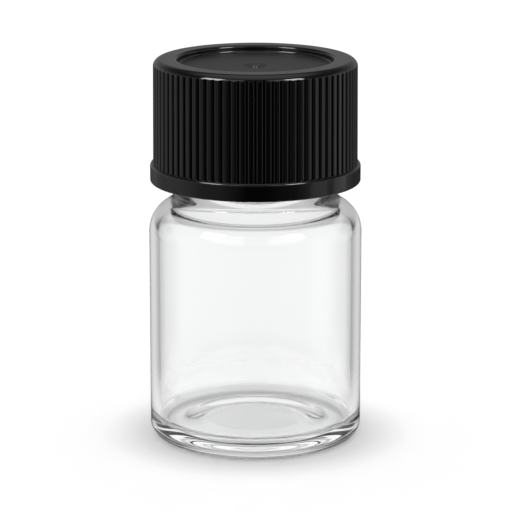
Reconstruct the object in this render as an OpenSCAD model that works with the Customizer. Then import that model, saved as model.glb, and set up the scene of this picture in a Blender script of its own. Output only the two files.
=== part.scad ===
// Glass sample vial with a ribbed screw cap and a sealing liner.
// The vial stands on z = 0 with its axis on +Z. All sizes are in millimetres.

/* [Glass body] */
// Outside diameter of the body
body_d = 28; // [25:0.5:40]
// Height of the rim above the surface that the vial stands on
vial_h = 46.5; // [36:0.5:90]
// Thickness of the body wall
wall = 1.3; // [0.9:0.05:2]
// Outside radius of the shoulder
shoulder_r = 4.36; // [3:0.02:6]
// Inside radius of the shoulder
shoulder_in_r = 2.9; // [2.4:0.1:4.6]
// Thickness of the glass at the top of the shoulder
shoulder_t = 1.6; // [1:0.05:2]
// Radius of the blend between the shoulder and the neck
neck_blend_r = 1.4; // [0.3:0.05:1.8]
// Outside radius of the heel
heel_r = 1.8; // [1:0.1:3]
// Thickness of the floor at its edge
floor_t = 2.3; // [1.8:0.1:5]
// Inside radius between the wall and the floor
floor_round_r = 1.8; // [0.5:0.1:2.5]
// Width of the flat ring that the vial stands on
foot_w = 1.6; // [0.6:0.1:3]
// Height of the hollow under the floor
push_up = 0.7; // [0.1:0.1:1.4]

/* [Neck] */
// Diameter of the neck at the root of its thread
neck_d = 21.6; // [17:0.1:26]
// Thickness of the neck's wall at the root of its thread
neck_wall = 2.4; // [1.6:0.1:3.4]
// Length of plain neck that shows below the closed cap
neck_show = 2.5; // [1:0.1:6]
// Radius of the blend between the inside of the shoulder and the bore
bore_blend_r = 4.2; // [0.6:0.1:5]
// Rounding of the rim
rim_r = 0.5; // [0.2:0.05:0.8]

/* [Thread] */
// Rise of the thread in one turn
pitch = 3.175; // [2.6:0.005:4]
// Turns of the thread on the neck
thread_turns = 1.5; // [1:0.25:2]
// Height of the thread above the neck
thread_h = 1.1; // [0.6:0.05:1.4]
// Width of the neck's thread at its root
thread_w = 2.1; // [1.6:0.05:2.5]
// Width of the neck's thread at its crest
crest_w = 0.8; // [0.5:0.05:1.2]
// Distance from the rim down to the thread
thread_start = 1.2; // [0.6:0.1:2.5]
// Turns of the thread inside the cap
cap_turns = 1.5; // [1:0.25:1.75]
// Distance from the foot of the cap up to its thread
cap_thread_start = 2.5; // [0.5:0.1:3]
// Clearance between the two threads
thread_gap = 0.22; // [0.15:0.01:0.35]

/* [Cap] */
// Height of the cap
cap_h = 16.2; // [13:0.1:24]
// Thickness of the cap's skirt over the ribs at their foot
skirt_t = 1.31; // [1:0.01:2]
// Number of ribs round the cap
rib_count = 76; // [40:2:96]
// Draft of the ribs in degrees, so that the mould can open
rib_draft = 0.36; // [0:0.02:1]
// Depth of the grooves between the ribs
rib_depth = 0.42; // [0.2:0.02:0.5]
// How far the plain band at the foot of the cap stands out from the ribs
band_step = 0.395; // [0.2:0.005:1]
// Height of the plain band
band_h = 2.42; // [1:0.02:5]
// Rounding of the band's upper edge
band_round_r = 0.38; // [0.1:0.02:0.4]
// Rounding of the cap's top edge
cap_round_r = 1.08; // [0.6:0.02:1.6]
// Thickness of the cap's top at its rim
top_t = 2.6; // [2:0.1:4]
// Width of the rim round the sunken panel in the cap's top
panel_rim = 3.23; // [2:0.01:6]
// Depth of the sunken panel
panel_depth = 1; // [0.4:0.05:1.2]
// Diameter of the dimple at the centre of the panel
dimple_d = 3.6; // [2:0.1:6]
// Depth of the dimple
dimple_depth = 0.4; // [0.2:0.05:0.6]

/* [Liner] */
// Thickness of the sealing liner
liner_t = 1.5; // [0.8:0.1:3]
// Clearance between the liner's edge and the cap's wall
liner_gap = 0.3; // [0.15:0.05:0.6]

/* [Hidden] */

$fn = 96;
eps = 0.01;
past = 1;                                    // how far a cutter runs past the face it cuts

body_r = body_d / 2;
neck_r = neck_d / 2;
bore_r = neck_r - neck_wall;
dimple_r = dimple_d / 2;

skirt_depth = cap_h - top_t - liner_t;       // how far the cap reaches below the rim
cap_z = vial_h - skirt_depth;                // foot of the closed cap
shoulder_z = cap_z - neck_show;              // where the neck stands on the shoulder
arc_x = body_r - shoulder_r;                 // centre of the shoulder's curve
arc_z = shoulder_z - sqrt(pow(shoulder_r, 2) - pow(max(neck_r - arc_x, 0), 2));
arc_in_z = arc_z + shoulder_r - shoulder_t - shoulder_in_r;
ceiling_z = cap_h - top_t;                   // underside of the cap's top, above the cap's foot

thread_r = neck_r + thread_h;                // crest of the neck's thread
cap_bore_r = thread_r + thread_gap;          // wall inside the cap
cap_r = cap_bore_r + skirt_t;                // over the ribs, at their foot
band_r = cap_r + band_step;
panel_r = cap_r - panel_rim;
thread_z = vial_h - thread_start - thread_w / 2 - pitch * thread_turns;
flank_w = (thread_w - crest_w) / 2;
cap_thread_h = cap_bore_r - neck_r - thread_gap;
cap_crest_w = pitch - 2 * thread_gap - thread_w;
cap_root_w = cap_crest_w + 2 * flank_w;
cap_thread_z = cap_thread_start + cap_root_w / 2;
// Turn that brings the cap's thread midway between the turns of the neck's thread.
mesh_turn = (cap_z + cap_thread_z - thread_z + pitch / 2) / pitch * 360;

thread_root = 0.25;                          // how deep each thread is rooted in its wall
thread_step = 7.5;                           // degrees between sections of a thread
thread_run = 30;                             // degrees over which a thread rises at its ends
flank_steps = 4;                             // points along each flank of a thread

dome_facets = 360;                           // round the wide, flat curve of the push-up
rib_facets = 24;                             // round each rib
rib_foot = band_h / 2;                       // the ribs start inside the band
core_inset = 0.1;                            // how far the drum lies inside the grooves
round_lap = 0.03;                            // how far the top rounding stands proud of the ribs
mouth_lead = 0.4;                            // bevel inside the foot of the cap
foot_edge = 0.25;                            // rounding outside the foot of the cap
panel_round = 0.35;                          // rounding of the panel's rim
nub_r = 0.5;                                 // nub that the mould's gate leaves in the dimple
nub_h = 0.25;
liner_edge = 0.15;                           // bevel round the liner

// Corner of a square whose tip is at the origin, less the round that stays.
// It is cut from the corner that lies up and to the right.
module corner_waste(r) {
    difference() {
        translate([-r, -r]) square(r + past);
        translate([-r, -r]) circle(r);
    }
}

// Outline of a vessel from the axis outwards: a straight side, a round shoulder and a neck
// that rises from it with a blend. The glass and the hollow in it are both such a shape.
module vessel_outline(side_r, arc_r, arc_z, neck_r, blend_r, low_z, high_z) {
    centre_x = side_r - arc_r;
    blend_x = neck_r + blend_r;
    over = max(blend_x - centre_x, 0);
    blend_z = arc_z + sqrt(pow(arc_r + blend_r, 2) - pow(over, 2));
    share = arc_r / (arc_r + blend_r);
    touch_x = blend_x - over * (1 - share);
    touch_z = arc_z + (blend_z - arc_z) * share;
    translate([0, low_z]) square([side_r, arc_z - low_z]);
    translate([0, arc_z - eps]) square([centre_x, arc_r + eps]);
    intersection() {
        translate([centre_x, arc_z]) circle(arc_r);
        translate([0, arc_z - eps]) square([side_r + past, arc_r + past]);
    }
    translate([0, arc_z - eps]) square([neck_r, high_z - arc_z + eps]);
    difference() {
        polygon([[neck_r - past, blend_z], [blend_x, blend_z], [touch_x, touch_z],
                 [neck_r - past, arc_z]]);
        translate([blend_x, blend_z]) circle(blend_r);
    }
}

// Outline of the full glass body, with no hollow in it.
module glass_outline() {
    difference() {
        vessel_outline(body_r, shoulder_r, arc_z, neck_r, neck_blend_r, 0, vial_h);
        translate([body_r, 0]) mirror([0, 1]) corner_waste(heel_r);
        translate([neck_r, vial_h]) corner_waste(rim_r);
    }
}

// Outline of the hollow: the body's room, the shoulder and the bore.
module hollow_outline() {
    room_r = body_r - wall;
    difference() {
        vessel_outline(room_r, shoulder_in_r, arc_in_z, bore_r, bore_blend_r, floor_t, vial_h + past);
        translate([room_r, floor_t]) mirror([0, 1]) corner_waste(floor_round_r);
    }
    difference() {
        translate([0, vial_h - rim_r]) square([bore_r + rim_r, rim_r + past]);
        translate([bore_r + rim_r, vial_h - rim_r]) circle(rim_r);
    }
}

// Shallow dome that is pressed up under the floor, inside the standing ring.
module push_up_outline() {
    dome_r = body_r - heel_r - foot_w;
    curve_r = (pow(dome_r, 2) + pow(push_up, 2)) / (2 * push_up);
    intersection() {
        translate([0, push_up - curve_r]) circle(curve_r, $fn = dome_facets);
        translate([0, -past]) square([dome_r + past, push_up + 2 * past]);
    }
}

// Share of a thread's height at a point that lies t of the way up its flank, 0 to 1.
function flank_rise(t) = pow(sin(90 * t), 2);

// Half of a thread's section: places across it and the share of its height there.
function flank_places(root_w, top_w) =
    [for (i = [0:flank_steps]) [root_w / 2 - (root_w - top_w) / 2 * i / flank_steps,
                                flank_rise(i / flank_steps)]];

// One thread: a ridge with a rounded section, swept up a right-hand helix.
// r is the wall that it stands on, and side is 1 outwards or -1 inwards.
module thread_ridge(r, h, root_w, top_w, turns, z, side) {
    half = flank_places(root_w, top_w);
    count = len(half);
    section = concat([[-root_w / 2, -1]], [for (p = half) [-p[0], p[1]]],
                     [for (i = [1:count]) half[count - i]], [[root_w / 2, -1]]);
    points_round = len(section);
    span = 360 * turns;
    steps = round(span / thread_step);
    points = [for (i = [0:steps])
        let (turned = span * i / steps,
             rise = sin(90 * min(1, turned / thread_run, (span - turned) / thread_run)))
        for (p = section)
            let (lift = p[1] < 0 ? -2 * thread_root : -thread_root + (h + thread_root) * p[1] * rise,
                 at = r + side * lift)
            [at * cos(turned), at * sin(turned), z + pitch * turned / 360 + p[0]]];
    start = [for (j = [0:points_round - 1]) j];
    end = [for (j = [0:points_round - 1]) steps * points_round + points_round - 1 - j];
    sides = [for (i = [0:steps - 1]) for (j = [0:points_round - 1])
        let (k = (j + 1) % points_round, a = i * points_round, b = a + points_round)
        [b + j, b + k, a + k, a + j]];
    faces = concat([start], [end], sides);
    if (side < 0) polyhedron(points, faces);
    else polyhedron(points, [for (f = faces) [for (j = [1:len(f)]) f[len(f) - j]]]);
}

module vial() {
    color([0.86, 0.91, 0.93, 0.4]) union() {
        rotate_extrude() difference() {
            glass_outline();
            hollow_outline();
            push_up_outline();
        }
        thread_ridge(neck_r, thread_h, thread_w, crest_w, thread_turns, thread_z, 1);
    }
}

// Ribbed drum of the cap: round ribs that lean in by the draft and meet in sharp grooves.
module ribbed_drum() {
    half_angle = 180 / rib_count;
    groove_r = cap_r - rib_depth;
    inward = cap_r - groove_r * cos(half_angle);
    across = groove_r * sin(half_angle);
    rib_r = (pow(inward, 2) + pow(across, 2)) / (2 * inward);
    core_r = groove_r - core_inset;
    cylinder(h = cap_h, r1 = core_r, r2 = core_r - cap_h * tan(rib_draft));
    for (i = [0:rib_count - 1])
        rotate((i + 0.5) * 360 / rib_count) translate([cap_r - rib_r, 0, rib_foot])
            rotate([0, -rib_draft, 0]) cylinder(h = cap_h, r = rib_r, $fn = rib_facets);
}

// Outline that rounds the ribs over into the cap's top.
module cap_envelope() {
    round_z = cap_h - cap_round_r;
    round_x = cap_r - (round_z - rib_foot) * tan(rib_draft) - cap_round_r + round_lap;
    square([round_x, cap_h]);
    translate([round_x, round_z]) circle(cap_round_r);
    square([cap_r + past, round_z]);
}

module band_outline() {
    difference() {
        square([band_r, band_h]);
        translate([band_r, band_h]) corner_waste(band_round_r);
        translate([band_r, 0]) mirror([0, 1]) corner_waste(foot_edge);
    }
}

// Room inside the cap, with a bevel at its mouth.
module cap_room_outline() {
    translate([0, -past]) square([cap_bore_r, ceiling_z + past]);
    polygon([[0, -past], [cap_bore_r + mouth_lead + past, -past], [cap_bore_r + mouth_lead, 0],
             [cap_bore_r, mouth_lead], [0, mouth_lead]]);
}

// Sunken panel with a soft rim, and the dimple that the mould's gate leaves in it.
module panel_outline() {
    panel_z = cap_h - panel_depth;
    curve_r = (pow(dimple_r, 2) + pow(dimple_depth, 2)) / (2 * dimple_depth);
    difference() {
        translate([0, panel_z]) square([panel_r, panel_depth + past]);
        translate([panel_r, panel_z]) mirror([0, 1]) corner_waste(panel_round);
    }
    difference() {
        translate([0, cap_h - panel_round]) square([panel_r + panel_round, panel_round + past]);
        translate([panel_r + panel_round, cap_h - panel_round]) circle(panel_round);
    }
    intersection() {
        translate([0, panel_z + curve_r - dimple_depth]) circle(curve_r);
        translate([0, panel_z - past]) square([dimple_r, past + eps]);
    }
}

module screw_cap() {
    color([0.03, 0.03, 0.035]) translate([0, 0, cap_z]) union() {
        difference() {
            union() {
                rotate_extrude() band_outline();
                intersection() {
                    ribbed_drum();
                    rotate_extrude() cap_envelope();
                }
            }
            rotate_extrude() cap_room_outline();
            rotate_extrude() panel_outline();
        }
        rotate(mesh_turn)
            thread_ridge(cap_bore_r, cap_thread_h, cap_root_w, cap_crest_w, cap_turns, cap_thread_z, -1);
        translate([0, 0, cap_h - panel_depth - dimple_depth - eps]) cylinder(h = nub_h, r = nub_r);
    }
}

module cap_liner() {
    liner_r = cap_bore_r - liner_gap;
    color([0.9, 0.9, 0.88]) translate([0, 0, vial_h]) rotate_extrude() polygon([
        [0, 0], [liner_r - liner_edge, 0], [liner_r, liner_edge],
        [liner_r, liner_t - liner_edge], [liner_r - liner_edge, liner_t], [0, liner_t]]);
}

vial();
screw_cap();
cap_liner();
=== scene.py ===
import math

import bpy
import numpy as np
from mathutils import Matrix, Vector


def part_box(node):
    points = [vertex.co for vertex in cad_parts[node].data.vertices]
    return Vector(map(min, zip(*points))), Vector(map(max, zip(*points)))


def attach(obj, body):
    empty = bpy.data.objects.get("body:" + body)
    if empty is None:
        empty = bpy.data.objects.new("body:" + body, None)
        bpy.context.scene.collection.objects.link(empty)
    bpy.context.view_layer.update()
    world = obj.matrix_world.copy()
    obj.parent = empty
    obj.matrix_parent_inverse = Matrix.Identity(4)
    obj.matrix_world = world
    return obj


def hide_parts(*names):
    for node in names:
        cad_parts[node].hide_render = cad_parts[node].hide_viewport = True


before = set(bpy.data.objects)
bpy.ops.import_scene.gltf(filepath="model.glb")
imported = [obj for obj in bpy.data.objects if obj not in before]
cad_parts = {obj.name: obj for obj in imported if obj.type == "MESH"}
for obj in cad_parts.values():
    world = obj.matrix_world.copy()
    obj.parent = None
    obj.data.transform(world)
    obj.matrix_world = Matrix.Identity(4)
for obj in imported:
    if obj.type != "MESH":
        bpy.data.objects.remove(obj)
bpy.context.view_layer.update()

# A clear glass sample vial with a ribbed black screw cap and a sealing liner.
# Everything is in metres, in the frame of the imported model, with the vial's axis on Z.

mm = 0.001
poleR = 0.4 * mm   # radius of the first ring of points round a pole
vialLow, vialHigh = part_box("vial")
capLow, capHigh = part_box("screw_cap")
linerLow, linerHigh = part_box("cap_liner")


# outlines are arrays of (radius, height) points

def line(start, end, count):
    # straight stretch whose points crowd towards both ends, so that bends beside it stay crisp
    t = (1 - np.cos(np.linspace(0, math.pi, count + 1))) / 2
    return np.outer(1 - t, start) + np.outer(t, end)


def arc(centre, radius, start, end, count):
    # round stretch: centre + radius * (cos a, sin a), with a from start to end in degrees
    a = np.radians(np.linspace(start, end, count + 1))
    return np.array(centre) + radius * np.stack([np.cos(a), np.sin(a)], axis=1)


def join(*stretches):
    # one outline from several stretches, each of which begins where the last one ended
    return np.concatenate([stretches[0]] + [stretch[1:] for stretch in stretches[1:]])


def softStep(t):
    # soft step from 0 to 1: the square of a sine over a quarter turn
    return np.sin(np.clip(t, 0, 1) * math.pi / 2) ** 2


# surfaces are grids of points: rows along an outline, columns round the axis.
# A closed surface runs from one pole on the axis to another

def turned(outline, angles):
    # surface of revolution: (r cos a, r sin a, z)
    return wrapped(outline[:, :1], outline[:, 1:], angles)


def wrapped(radius, height, angles):
    # the same, with a radius and a height for each point of the grid
    r, z, a = np.broadcast_arrays(radius, height, angles[None, :])
    return np.stack([r * np.cos(a), r * np.sin(a), z], axis=2)


def around(columns):
    return np.arange(columns) * 2 * math.pi / columns


def rowPair(low, high, columns):
    # quads between two rows of the same number of columns
    j = np.arange(columns)
    k = (j + 1) % columns
    return np.stack([low + j, low + k, high + k, high + j], axis=-1)


def thinning(fine, coarse, columns, times):
    # triangles from a fine row to one that has a fraction of its columns
    j = np.arange(columns)
    k = (j + 1) % columns
    half = times // 2
    faces = [np.stack([fine + j * times + half, coarse + k, coarse + j], axis=1)]
    for step in range(times):
        near = fine + j * times + step
        far = fine + (j * times + step + 1) % (columns * times)
        faces.append(np.stack([near, far, coarse + (j if step < half else k)], axis=1))
    return np.concatenate(faces)


def closedSurface(name, start, patches, end):
    # one closed mesh: a pole, grids that follow on each other, and a second pole. Where the number
    # of columns changes, triangles take it from one grid to the next
    points = [np.array([start])]
    faces = []
    first = 1
    last = None
    for patch in patches:
        rows, columns = patch.shape[:2]
        points.append(patch.reshape(-1, 3))
        if last is None:
            ring = first + np.arange(columns)
            faces.append(np.stack([np.zeros_like(ring), np.roll(ring, -1), ring], axis=1))
        elif last[1] == columns:
            faces.append(rowPair(last[0], first, columns))
        elif last[1] > columns:
            faces.append(thinning(last[0], first, columns, last[1] // columns))
        else:
            faces.append(thinning(first, last[0], last[1], columns // last[1])[:, ::-1])
        starts = first + np.arange(rows - 1)[:, None] * columns
        faces.append(rowPair(starts, starts + columns, columns).reshape(-1, 4))
        last = (first + (rows - 1) * columns, columns)
        first += rows * columns
    points.append(np.array([end]))
    ring = last[0] + np.arange(last[1])
    faces.append(np.stack([np.full_like(ring, first), ring, np.roll(ring, -1)], axis=1))
    mesh = bpy.data.meshes.new(name)
    mesh.from_pydata(np.concatenate(points), [], [f for part in faces for f in part.tolist()])
    mesh.validate()
    mesh.polygons.foreach_set("use_smooth", np.ones(len(mesh.polygons), dtype=bool))
    piece = bpy.data.objects.new(name, mesh)
    bpy.context.scene.collection.objects.link(piece)
    return piece


# shader maths: sockets that can be added and multiplied, and one method that adds any node

class Socket:
    def __init__(self, shader, output):
        self.shader = shader
        self.output = output

    def maths(self, operation, first, second):
        return self.shader.node("ShaderNodeMath", {"operation": operation}, [first, second])

    def __add__(self, other):
        return self.maths("ADD", self, other)

    def __radd__(self, other):
        return self.maths("ADD", other, self)

    def __sub__(self, other):
        return self.maths("SUBTRACT", self, other)

    def __rsub__(self, other):
        return self.maths("SUBTRACT", other, self)

    def __mul__(self, other):
        return self.maths("MULTIPLY", self, other)

    def __rmul__(self, other):
        return self.maths("MULTIPLY", other, self)

    def __pow__(self, other):
        return self.maths("POWER", self, other)


class Shader:
    def __init__(self, tree):
        self.tree = tree
        tree.nodes.clear()

    def node(self, kind, settings=None, values=None, output=0):
        # settings come first, a ramp's stops among them, and then the sockets' values or links
        made = self.tree.nodes.new(kind)
        for key, value in (settings or {}).items():
            if key == "stops":
                ramp = made.color_ramp.elements
                while len(ramp) < len(value):
                    ramp.new(0.5)
                for stop, (position, shade) in zip(ramp, value):
                    stop.position = position
                    stop.color = (shade, shade, shade, 1)
            else:
                setattr(made, key, value)
        pairs = values.items() if isinstance(values, dict) else enumerate(values or [])
        for key, value in pairs:
            if isinstance(value, Socket):
                self.tree.links.new(value.output, made.inputs[key])
            else:
                made.inputs[key].default_value = value
        return Socket(self, made.outputs[output]) if made.outputs else None


def material(name):
    made = bpy.data.materials.new(name)
    made.use_nodes = True
    return made, Shader(made.node_tree)


def closeTree(shader, surface, kind="ShaderNodeOutputMaterial"):
    shader.node(kind, values={"Surface": surface})


def finishOf(piece, made):
    piece.data.materials.clear()
    piece.data.materials.append(made)


def ramp(shader, stops, value):
    return shader.node("ShaderNodeValToRGB", {"stops": stops}, [value])


def softRange(shader, value, start, end):
    # 0 before start, 1 past end, and soft between them
    return shader.node("ShaderNodeMapRange", {"interpolation_type": "SMOOTHSTEP"}, {
        "Value": value, "From Min": start, "From Max": end})


def lengthOf(shader, vector):
    return shader.node("ShaderNodeVectorMath", {"operation": "LENGTH"}, [vector], 1)


def bumped(shader, strength, distance, height):
    return shader.node("ShaderNodeBump", values={
        "Strength": strength, "Distance": distance, "Height": height})


# the screw thread, shared by the neck and the cap

thread = {
    "pitch": 3.175 * mm,       # rise in one turn
    "neckTurns": 1.5,
    "capTurns": 1.5,
    "height": 1.1 * mm,
    "rootWidth": 2.1 * mm,     # of the neck's thread
    "crestWidth": 0.8 * mm,
    "start": 1.2 * mm,         # from the rim down to the thread
    "gap": 0.22 * mm,          # between the two threads
    "root": 0.25 * mm,         # how deep a thread is rooted in its wall
    "run": math.radians(30),   # over which a thread rises at its ends
    "neckR": 10.8 * mm,
}
thread["z"] = (vialHigh.z - thread["start"] - thread["rootWidth"] / 2
               - thread["pitch"] * thread["neckTurns"])
thread["boreR"] = thread["neckR"] + thread["height"] + thread["gap"]


def ridge(angles, heights, bottom, turns, height, rootWidth, crestWidth):
    # how far a thread stands out of its wall: a soft-sided ridge along a right-hand helix,
    # z = bottom + pitch * a / (2 pi), which fades in and out at its ends
    span = turns * 2 * math.pi
    flank = (rootWidth - crestWidth) / 2
    out = np.zeros((len(heights), len(angles)))
    for turn in range(math.ceil(turns) + 1):
        along = angles[None, :] + turn * 2 * math.pi
        across = np.abs(heights[:, None] - bottom - thread["pitch"] * along / (2 * math.pi))
        ends = np.minimum(along, span - along) / thread["run"]
        rise = np.sin(np.clip(ends, 0, 1) * math.pi / 2)
        side = softStep((rootWidth / 2 - across) / flank)
        lift = (height + thread["root"]) * side * rise - thread["root"]
        out = np.maximum(out, np.where((along <= span) & (across < rootWidth / 2), lift, 0))
    return out


# the glass

vial = {
    "wall": 1.3 * mm,
    "shoulderR": 4.36 * mm,
    "shoulderInR": 2.9 * mm,
    "shoulderTop": 1.6 * mm,   # thickness of the shoulder at its top
    "neckBlendR": 1.4 * mm,
    "heelR": 1.8 * mm,
    "floor": 2.4 * mm,         # height of the inner floor
    "floorRoundR": 1.3 * mm,
    "footWidth": 1.9 * mm,
    "pushUp": 0.69 * mm,
    "pushUpRun": 4.4 * mm,     # over which the push-up rises
    "boreR": 8.4 * mm,
    "boreBlendR": 4.2 * mm,
    "rimR": 0.5 * mm,
    "neckShow": 2.5 * mm,      # plain neck below the closed cap
    "columns": 208,
    "colour": (0.99, 0.993, 0.993, 1),
    "index": 1.5,
    "waviness": 0.02 * mm,
}


def shoulderAndNeck(sideR, arcR, neckR, blendR, arcZ):
    # the round shoulder and the blend that carries it into the neck, from below
    centreX = sideR - arcR
    blendX = neckR + blendR
    over = max(blendX - centreX, 0)
    blendZ = arcZ + math.sqrt((arcR + blendR) ** 2 - over ** 2)
    lean = math.degrees(math.atan2(blendZ - arcZ, over))
    shoulder = arc((centreX, arcZ), arcR, 0, lean, 32)
    blend = arc((blendX, blendZ), blendR, lean + 180, 180, 12)
    return shoulder, blend


def recess(outR, depth, run):
    # hollow under the floor: flat, then a soft step down to the foot
    t = np.linspace(1, 0, 33)
    step = np.stack([outR - run * t, depth * softStep(t)], axis=1)
    return join(line((0, depth), (outR - run, depth), 8), step)


def makeGlass():
    bodyR = vialHigh.x
    rim = vialHigh.z
    neckR = thread["neckR"]
    centreX = bodyR - vial["shoulderR"]
    shoulderZ = capLow.z - vial["neckShow"]
    arcZ = shoulderZ - math.sqrt(vial["shoulderR"] ** 2 - max(neckR - centreX, 0) ** 2)
    heelR = vial["heelR"]
    footR = bodyR - heelR - vial["footWidth"]
    hollow = recess(footR, vial["pushUp"], vial["pushUpRun"])
    shoulder, blend = shoulderAndNeck(bodyR, vial["shoulderR"], neckR, vial["neckBlendR"], arcZ)
    threadTop = rim - vial["rimR"]
    threadLow = thread["z"] - thread["rootWidth"] / 2
    below = join(hollow, line((footR, 0), (bodyR - heelR, 0), 8),
                 arc((bodyR - heelR, heelR), heelR, -90, 0, 24),
                 line((bodyR, heelR), (bodyR, arcZ), 40), shoulder, blend,
                 line(blend[-1], (neckR, threadLow), 16))
    angles = around(vial["columns"])
    heights = np.arange(threadLow, threadTop, 0.09 * mm)[1:]
    lift = ridge(angles, heights, thread["z"], thread["neckTurns"], thread["height"],
                 thread["rootWidth"], thread["crestWidth"])
    rimR = vial["rimR"]
    boreR = vial["boreR"]
    innerR = bodyR - vial["wall"]
    roundR = vial["floorRoundR"]
    innerArcZ = arcZ + vial["shoulderR"] - vial["shoulderTop"] - vial["shoulderInR"]
    innerShoulder, innerBlend = shoulderAndNeck(innerR, vial["shoulderInR"], boreR,
                                                vial["boreBlendR"], innerArcZ)
    inside = join(arc((neckR - rimR, rim - rimR), rimR, 0, 90, 12),
                  line((neckR - rimR, rim), (boreR + rimR, rim), 8),
                  arc((boreR + rimR, rim - rimR), rimR, 90, 180, 12),
                  line((boreR, rim - rimR), innerBlend[-1], 32),
                  innerBlend[::-1], innerShoulder[::-1],
                  line((innerR, innerArcZ), (innerR, vial["floor"] + roundR), 40),
                  arc((innerR - roundR, vial["floor"] + roundR), roundR, 0, -90, 20),
                  line((innerR - roundR, vial["floor"]), (poleR, vial["floor"]), 24))
    return closedSurface("glass_vial", (0, 0, vial["pushUp"]),
                         [turned(below[1:], angles),
                          wrapped(neckR + lift, heights[:, None], angles),
                          turned(inside, angles)],
                         (0, 0, vial["floor"]))


def glassFinish():
    made, shader = material("clearGlass")
    place = shader.node("ShaderNodeTexCoord", output="Object")
    wave = shader.node("ShaderNodeTexNoise", values={
        "Vector": place, "Scale": 90.0, "Detail": 1.0})
    surface = shader.node("ShaderNodeBsdfPrincipled", values={
        "Base Color": vial["colour"], "Roughness": 0.0, "IOR": vial["index"],
        "Transmission Weight": 1.0, "Normal": bumped(shader, 0.02, vial["waviness"], wave)})
    closeTree(shader, surface)
    return made


# the cap

cap = {
    "ribs": 76,
    "topR": 13.43 * mm,        # over the ribs, at their foot
    "draft": math.radians(0.36),
    "ribDepth": 0.42 * mm,
    "bandHeight": 2.42 * mm,
    "bandRound": 0.38 * mm,
    "footRound": 0.25 * mm,
    "topRound": 1.08 * mm,
    "flatness": 5,             # 2 for round ribs, more for flatter ones
    "grooveEnd": 0.25 * mm,    # height over which the grooves run out in the round edge
    "grooveTop": 0.45 * mm,    # from the foot of the round edge to the top of the grooves
    "roundLap": 0.03 * mm,
    "topThickness": 2.6 * mm,
    "panelR": 10.2 * mm,
    "panelDepth": 1.0 * mm,
    "panelRound": 0.35 * mm,
    "dimpleR": 1.8 * mm,
    "dimpleDepth": 0.4 * mm,
    "nubR": 0.55 * mm,
    "nubHeight": 0.42 * mm,
    "mouthLead": 0.4 * mm,
    "threadStart": 2.5 * mm,   # from the cap's foot up to its thread
    "perRib": 12,              # columns for each rib
    "thinner": 4,              # how many times fewer columns the plain surfaces have
    "colour": (0.0007, 0.0007, 0.0008, 1),
    "panelColour": (0.022, 0.022, 0.023, 1),
    "polish": 0.07,            # roughness of the polished surfaces
    "polishSweep": 0.05,       # how much it varies
    "panelGrain": 0.33,        # how much rougher the sunken panel is
    "grainDepth": 0.01 * mm,
}


def ribRadius(angles, height, end):
    # flat-topped ribs that meet in sharp grooves: with u from -1 to 1 across a rib,
    # r = tip - depth |u|^flatness. Towards the height where the grooves end, r goes out to the tip
    half = math.pi / cap["ribs"]
    tip = cap["topR"] - (height - cap["bandHeight"] / 2) * math.tan(cap["draft"])
    across = np.abs(np.mod(angles, 2 * half) / half - 1) ** cap["flatness"]
    depth = cap["ribDepth"] * (1 - softStep((height - end) / cap["grooveEnd"] + 1))
    return tip[:, None] - depth[:, None] * across


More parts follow.
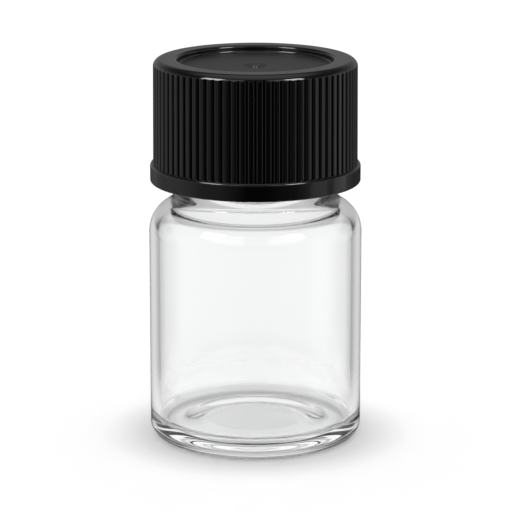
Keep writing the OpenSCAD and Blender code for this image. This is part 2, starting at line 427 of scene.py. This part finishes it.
def makeCap():
    # heights count from the cap's foot until the last lines
    foot = capLow.z
    tall = capHigh.z - capLow.z
    bandR = capHigh.x
    boreR = thread["boreR"]
    ceiling = tall - cap["topThickness"]
    lead = cap["mouthLead"]
    fine = around(cap["ribs"] * cap["perRib"])
    plain = around(len(fine) // cap["thinner"])
    pitch = thread["pitch"]
    threadHeight = boreR - thread["neckR"] - thread["gap"]
    crest = pitch - 2 * thread["gap"] - thread["rootWidth"]
    root = crest + thread["rootWidth"] - thread["crestWidth"]
    bottom = cap["threadStart"] + root / 2
    meshTurn = (foot + bottom - thread["z"] + pitch / 2) / pitch * 2 * math.pi
    top = bottom + pitch * thread["capTurns"] + root / 2
    heights = np.arange(cap["threadStart"], top, 0.1 * mm)[::-1]
    lift = ridge(np.mod(plain - meshTurn, 2 * math.pi), heights, bottom, thread["capTurns"],
                 threadHeight, root, crest)
    under = join(line((poleR, ceiling), (boreR, ceiling), 10),
                 line((boreR, ceiling), (boreR, heights[0] + 0.1 * mm), 10))
    mouth = join(line((boreR, heights[-1] - 0.1 * mm), (boreR, lead), 4),
                 line((boreR, lead), (boreR + lead, 0), 2))
    band = join(line((boreR + lead, 0), (bandR - cap["footRound"], 0), 3),
                arc((bandR - cap["footRound"], cap["footRound"]), cap["footRound"], -90, 0, 6),
                line((bandR, cap["footRound"]), (bandR, cap["bandHeight"] - cap["bandRound"]), 6),
                arc((bandR - cap["bandRound"], cap["bandHeight"] - cap["bandRound"]),
                    cap["bandRound"], 0, 90, 8))
    roundZ = tall - cap["topRound"]
    drawnIn = (roundZ - cap["bandHeight"] / 2) * math.tan(cap["draft"])
    roundX = cap["topR"] - drawnIn - cap["topRound"] + cap["roundLap"]
    walls = line((0, cap["bandHeight"]), (0, roundZ), 8)[:, 1]
    over = join(arc((roundX, roundZ), cap["topRound"], 0, 30, 16),
                arc((roundX, roundZ), cap["topRound"], 30, 90, 12))[1:]
    ribHeights = np.concatenate([walls, over[:, 1]])
    limit = np.concatenate([np.full(len(walls), np.inf), over[:, 0]])
    ribs = np.minimum(ribRadius(fine, ribHeights, roundZ + cap["grooveTop"]), limit[:, None])
    panelZ = tall - cap["panelDepth"]
    soft = cap["panelRound"]
    panelR = cap["panelR"]
    dimpleR = cap["dimpleR"]
    curveR = (dimpleR ** 2 + cap["dimpleDepth"] ** 2) / (2 * cap["dimpleDepth"])
    dimpleLean = math.degrees(math.asin(dimpleR / curveR))
    nubR = cap["nubR"]
    nubLean = math.degrees(math.asin(nubR * 1.3 / curveR))
    nubFoot = panelZ - cap["dimpleDepth"]
    nubSide = (nubR, nubFoot + cap["nubHeight"] * 0.4)
    nubEdge = (nubR * 0.8, nubFoot + cap["nubHeight"])
    nubTop = nubFoot + cap["nubHeight"] * 1.1
    topFace = join(line((roundX, tall), (panelR + soft, tall), 10),
                   arc((panelR + soft, tall - soft), soft, 90, 180, 8),
                   line((panelR, tall - soft), (panelR, panelZ + soft), 3),
                   arc((panelR - soft, panelZ + soft), soft, 0, -90, 8),
                   line((panelR - soft, panelZ), (dimpleR, panelZ), 14),
                   arc((0, panelZ + curveR - cap["dimpleDepth"]), curveR, dimpleLean - 90,
                       nubLean - 90, 10))
    nub = join(line(topFace[-1], nubSide, 3), line(nubSide, nubEdge, 3),
               line(nubEdge, (nubR * 0.2, nubTop), 3))
    piece = closedSurface("ribbed_cap", (0, 0, ceiling),
                          [turned(under[:-1], plain),
                           wrapped(boreR - lift, heights[:, None], plain),
                           turned(mouth, plain),
                           turned(band[1:], fine),
                           wrapped(ribs, ribHeights[:, None], fine),
                           turned(topFace[1:], plain),
                           turned(nub[1:], plain)],
                          (0, 0, nubTop))
    points = np.empty(len(piece.data.vertices) * 3)
    piece.data.vertices.foreach_get("co", points)
    points.reshape(-1, 3)[:, 2] += foot
    piece.data.vertices.foreach_set("co", points)
    piece.data.set_sharp_from_angle(angle=math.radians(32))
    return piece


def capFinish():
    made, shader = material("blackPlastic")
    place = shader.node("ShaderNodeTexCoord", output="Object")
    grain = shader.node("ShaderNodeTexNoise", values={
        "Vector": place, "Scale": 2500.0, "Detail": 3.0})
    sweep = shader.node("ShaderNodeTexNoise", values={
        "Vector": place, "Scale": 160.0, "Detail": 3.0})
    # the sunken panel is fine-grained, the rest is polished
    across = shader.node("ShaderNodeVectorMath", {"operation": "MULTIPLY"}, [place, (1, 1, 0)])
    height = shader.node("ShaderNodeSeparateXYZ", values=[place], output="Z")
    within = softRange(shader, lengthOf(shader, across), cap["panelR"], cap["panelR"] - 0.4 * mm)
    above = shader.node("ShaderNodeMapRange", values={
        "Value": height, "From Min": capHigh.z - 2 * mm, "From Max": capHigh.z - 1.6 * mm})
    panel = within * above
    colour = shader.node("ShaderNodeMix", {"data_type": "RGBA"},
                         {0: panel, 6: cap["colour"], 7: cap["panelColour"]}, 2)
    surface = shader.node("ShaderNodeBsdfPrincipled", values={
        "Base Color": colour, "IOR": 1.5,
        "Roughness": sweep * cap["polishSweep"] + panel * cap["panelGrain"] + cap["polish"],
        "Normal": bumped(shader, 0.15, cap["grainDepth"], grain)})
    closeTree(shader, surface)
    return made


# the liner

liner = {
    "bevel": 0.15 * mm,
    "columns": 128,
    "colour": (0.82, 0.82, 0.8, 1),
    "roughness": 0.6,
    "cellDepth": 0.03 * mm,
}


def makeLiner():
    r = linerHigh.x
    low = linerLow.z
    high = linerHigh.z
    bevel = liner["bevel"]
    outline = join(line((poleR, low), (r - bevel, low), 10),
                   line((r - bevel, low), (r, low + bevel), 2),
                   line((r, low + bevel), (r, high - bevel), 3),
                   line((r, high - bevel), (r - bevel, high), 2),
                   line((r - bevel, high), (poleR, high), 10))
    return closedSurface("sealing_liner", (0, 0, low),
                         [turned(outline, around(liner["columns"]))], (0, 0, high))


def linerFinish():
    made, shader = material("foamLiner")
    place = shader.node("ShaderNodeTexCoord", output="Object")
    cells = shader.node("ShaderNodeTexVoronoi", values={"Vector": place, "Scale": 2600.0})
    surface = shader.node("ShaderNodeBsdfPrincipled", values={
        "Base Color": liner["colour"], "Roughness": liner["roughness"],
        "Normal": bumped(shader, 0.3, liner["cellDepth"], cells)})
    closeTree(shader, surface)
    return made


# the studio

studio = {
    "distance": 365.82 * mm,   # camera to the middle of the vial
    "elevation": math.radians(13.758),
    "aim": (0.08 * mm, 0, 24.0845 * mm),
    "lens": 194.31,
    "bounces": 32,             # enough for light to leave the thick glass again
    "floorRings": (0.05, 0.2, 0.8, 4.0),
    "floorDrop": 0.05 * mm,    # below the vial's foot, so that the two never share a plane
    "floorFade": (16 * mm, 45 * mm),   # where the floor fades out for rays through glass
    # painted soft contact shadow in the floor's colour, darkest in a ring under the foot: radius in
    # mm and tone
    "floorPaintedShadow": [(0, 0.94), (10.4, 0.94), (11.4, 0.72), (12.2, 0.51), (12.75, 0.51), (13.3, 0.63),
                   (14.1, 0.69), (15.1, 0.72), (16.7, 0.8), (18.7, 0.88), (20.5, 0.94), (23, 0.97)],
    "backdrop": 1.1,
    "ambient": 1.08,
    "underGlass": 2.85,         # light that reaches the floor through the glass
    # half the light from round about, by azimuth (0 is behind the vial) or by elevation
    "throughLow": [(0, 0.475), (12, 0.465), (20, 0.44), (28, 0.39), (36, 0.27), (48, 0.14),
                   (56, 0.19), (70, 0.5), (90, 0.6), (180, 0.55)],
    "throughMiddle": [(0, 0.295), (22, 0.265), (34, 0.02), (56, 0.02), (68, 0.55), (100, 0.5),
                      (180, 0.25)],
    "throughTop": 0.5,
    "skyline": (-2, 4.4),      # elevations between which low goes over into middle
    "ceiling": (20, 28),       # and middle into top
    # what surfaces mirror: by elevation, and low down by side (-90 is the camera's left)
    "mirroredUp": [(-90, 0), (-6, 0.01), (2, 0.13), (22, 0.12), (37, 0.05), (48, 0.08), (62, 0.35),
                   (75, 0.45), (90, 0.45)],
    "mirroredSides": [(-90, 0.22), (-60, 0.13), (-40, 0.12), (-30, 0.08), (-10, 0), (12, 0),
                      (25, 0.02), (45, 0.045), (60, 0.12), (66, 0.3), (88, 0.3), (90, 0.15)],
    "sidesFade": (30, 5),      # elevations over which the sides come in, downwards
    "lightDistance": 0.8,
    "lightAim": 30 * mm,       # height that the lights look at
    # azimuth, elevation, width, height, brightness, and whether it shows through the glass
    "lights": {
        "leftBox": (-54, 35, 0.3, 0.28, 11, False),
        "leftGlow": (-36, 35, 0.5, 0.26, 1.3, True),
        "rightBox": (49, 35, 0.25, 0.26, 11, False),
        "rightGlow": (36, 35, 0.45, 0.26, 1.3, True),
    },
}


def makeCamera():
    camera = bpy.data.objects.new("camera", bpy.data.cameras.new("camera"))
    bpy.context.scene.collection.objects.link(camera)
    bpy.context.scene.camera = camera
    back = Vector((0, -math.cos(studio["elevation"]), math.sin(studio["elevation"])))
    camera.location = Vector(studio["aim"]) + back * studio["distance"]
    camera.rotation_euler = (-back).to_track_quat("-Z", "Y").to_euler()
    camera.data.lens = studio["lens"]
    camera.data.clip_start = 0.01
    camera.data.clip_end = 20


def makeFloor():
    # flat rings of quads round one many-sided face
    rings = turned(np.array([(r, -studio["floorDrop"]) for r in studio["floorRings"]]), around(96))
    points = rings.reshape(-1, 3)
    rows, columns = rings.shape[:2]
    starts = np.arange(rows - 1)[:, None] * columns
    faces = rowPair(starts, starts + columns, columns).reshape(-1, 4)[:, ::-1]
    mesh = bpy.data.meshes.new("floor")
    mesh.from_pydata(points, [], faces.tolist() + [list(range(columns))])
    floor = bpy.data.objects.new("floor", mesh)
    bpy.context.scene.collection.objects.link(floor)
    floor.visible_glossy = False
    made, shader = material("floorPaper")
    place = shader.node("ShaderNodeTexCoord", output="Object")
    reach = lengthOf(shader, place)
    span = studio["floorPaintedShadow"][-1][0]
    stops = [(radius / span, shade) for radius, shade in studio["floorPaintedShadow"]]
    # the floor's colour darkens round the vial's foot: a painted contact shadow, not one cast by
    # the lights
    tone = ramp(shader, stops, reach * (1 / (span * mm)))
    paper = shader.node("ShaderNodeBsdfDiffuse", values={"Color": tone})
    bent = shader.node("ShaderNodeLightPath", output="Is Transmission Ray")
    far = softRange(shader, reach, *studio["floorFade"])
    clear = shader.node("ShaderNodeBsdfTransparent")
    closeTree(shader, shader.node("ShaderNodeMixShader", values=[far * bent, paper, clear]))
    finishOf(floor, made)


def circling(degrees):
    # place on a ramp of an azimuth, 0 behind the vial and 180 on the camera's side
    return math.cos(math.radians(degrees)) * 0.5 + 0.5


def rising(degrees):
    # place on a ramp of an elevation
    return math.sin(math.radians(degrees)) * 0.5 + 0.5


def makeWorld():
    # three kinds of light: what the camera sees straight, what surfaces mirror, and what comes
    # through the glass, which has its own levels by direction
    world = bpy.data.worlds.new("studio")
    bpy.context.scene.world = world
    world.use_nodes = True
    world.cycles.sampling_method = "NONE"
    shader = Shader(world.node_tree)
    place = shader.node("ShaderNodeTexCoord", output="Generated")
    east, north, up = [shader.node("ShaderNodeSeparateXYZ", values=[place], output=axis)
                       for axis in "XYZ"]
    level = (east * east + north * north) ** -0.5
    ahead = north * level * 0.5 + 0.5
    aside = east * level * 0.5 + 0.5
    height = up * 0.5 + 0.5

    low, middle = [ramp(shader, sorted((circling(degrees), shade)
                                       for degrees, shade in studio[name]), ahead)
                   for name in ("throughLow", "throughMiddle")]
    byHeight, bySide = [ramp(shader, [(rising(degrees), shade)
                                      for degrees, shade in studio[name]], value)
                        for name, value in (("mirroredUp", height), ("mirroredSides", aside))]
    skyline, ceiling, lower = [
        softRange(shader, height, rising(studio[name][0]), rising(studio[name][1]))
        for name in ("skyline", "ceiling", "sidesFade")]
    through = (low * (1 - skyline) + middle * skyline * (1 - ceiling)
               + ceiling * studio["throughTop"])
    mirrored = byHeight + bySide * lower

    seen, spread, bent, spreads = [shader.node("ShaderNodeLightPath", output=kind) for kind in (
        "Is Camera Ray", "Is Diffuse Ray", "Is Transmission Ray", "Diffuse Depth")]
    # light on its way to the floor under the glass has been spread once already
    lit = shader.node("ShaderNodeMath", {"operation": "GREATER_THAN"}, [spreads, 0.5])
    soft = spread * (1 - bent)
    entered = lit * studio["underGlass"] + (1 - lit) * through * 2
    radiance = seen * studio["backdrop"] + (1 - seen) * (
        soft * studio["ambient"] + (1 - soft) * (bent * entered + (1 - bent) * mirrored * 2))
    surface = shader.node("ShaderNodeBackground", values={
        "Color": (1, 1, 1, 1), "Strength": radiance})
    closeTree(shader, surface, "ShaderNodeOutputWorld")


def makeLight(name, azimuth, elevation, width, height, brightness, throughGlass):
    # an area light that looks at the vial. Azimuth 0 is the camera's side, positive to the right.
    # It makes highlights only: the floor's light is the world's
    data = bpy.data.lights.new(name, "AREA")
    data.shape = "RECTANGLE"
    data.size = width
    data.size_y = height
    data.energy = brightness * math.pi * width * height
    lamp = bpy.data.objects.new(name, data)
    bpy.context.scene.collection.objects.link(lamp)
    a = math.radians(azimuth)
    e = math.radians(elevation)
    away = Vector((math.sin(a) * math.cos(e), -math.cos(a) * math.cos(e), math.sin(e)))
    lamp.location = Vector((0, 0, studio["lightAim"])) + away * studio["lightDistance"]
    lamp.rotation_euler = (-away).to_track_quat("-Z", "Y").to_euler()
    lamp.visible_camera = False
    lamp.visible_diffuse = False
    lamp.visible_transmission = throughGlass


def makeLights():
    for name, values in studio["lights"].items():
        makeLight(name, *values)


makeCamera()
makeFloor()
makeWorld()
makeLights()
print("studio ready")

glassPiece = makeGlass()
finishOf(glassPiece, glassFinish())
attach(glassPiece, "vial")
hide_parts("vial")
print("glass made:", len(glassPiece.data.polygons), "faces")

capPiece = makeCap()
finishOf(capPiece, capFinish())
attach(capPiece, "cap")
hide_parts("screw_cap")
print("cap made:", len(capPiece.data.polygons), "faces")

linerPiece = makeLiner()
finishOf(linerPiece, linerFinish())
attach(linerPiece, "liner")
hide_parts("cap_liner")
print("liner made")

scene = bpy.context.scene
scene.view_settings.view_transform = "Standard"
scene.cycles.max_bounces = studio["bounces"]
scene.cycles.transmission_bounces = studio["bounces"]
scene.cycles.glossy_bounces = studio["bounces"]
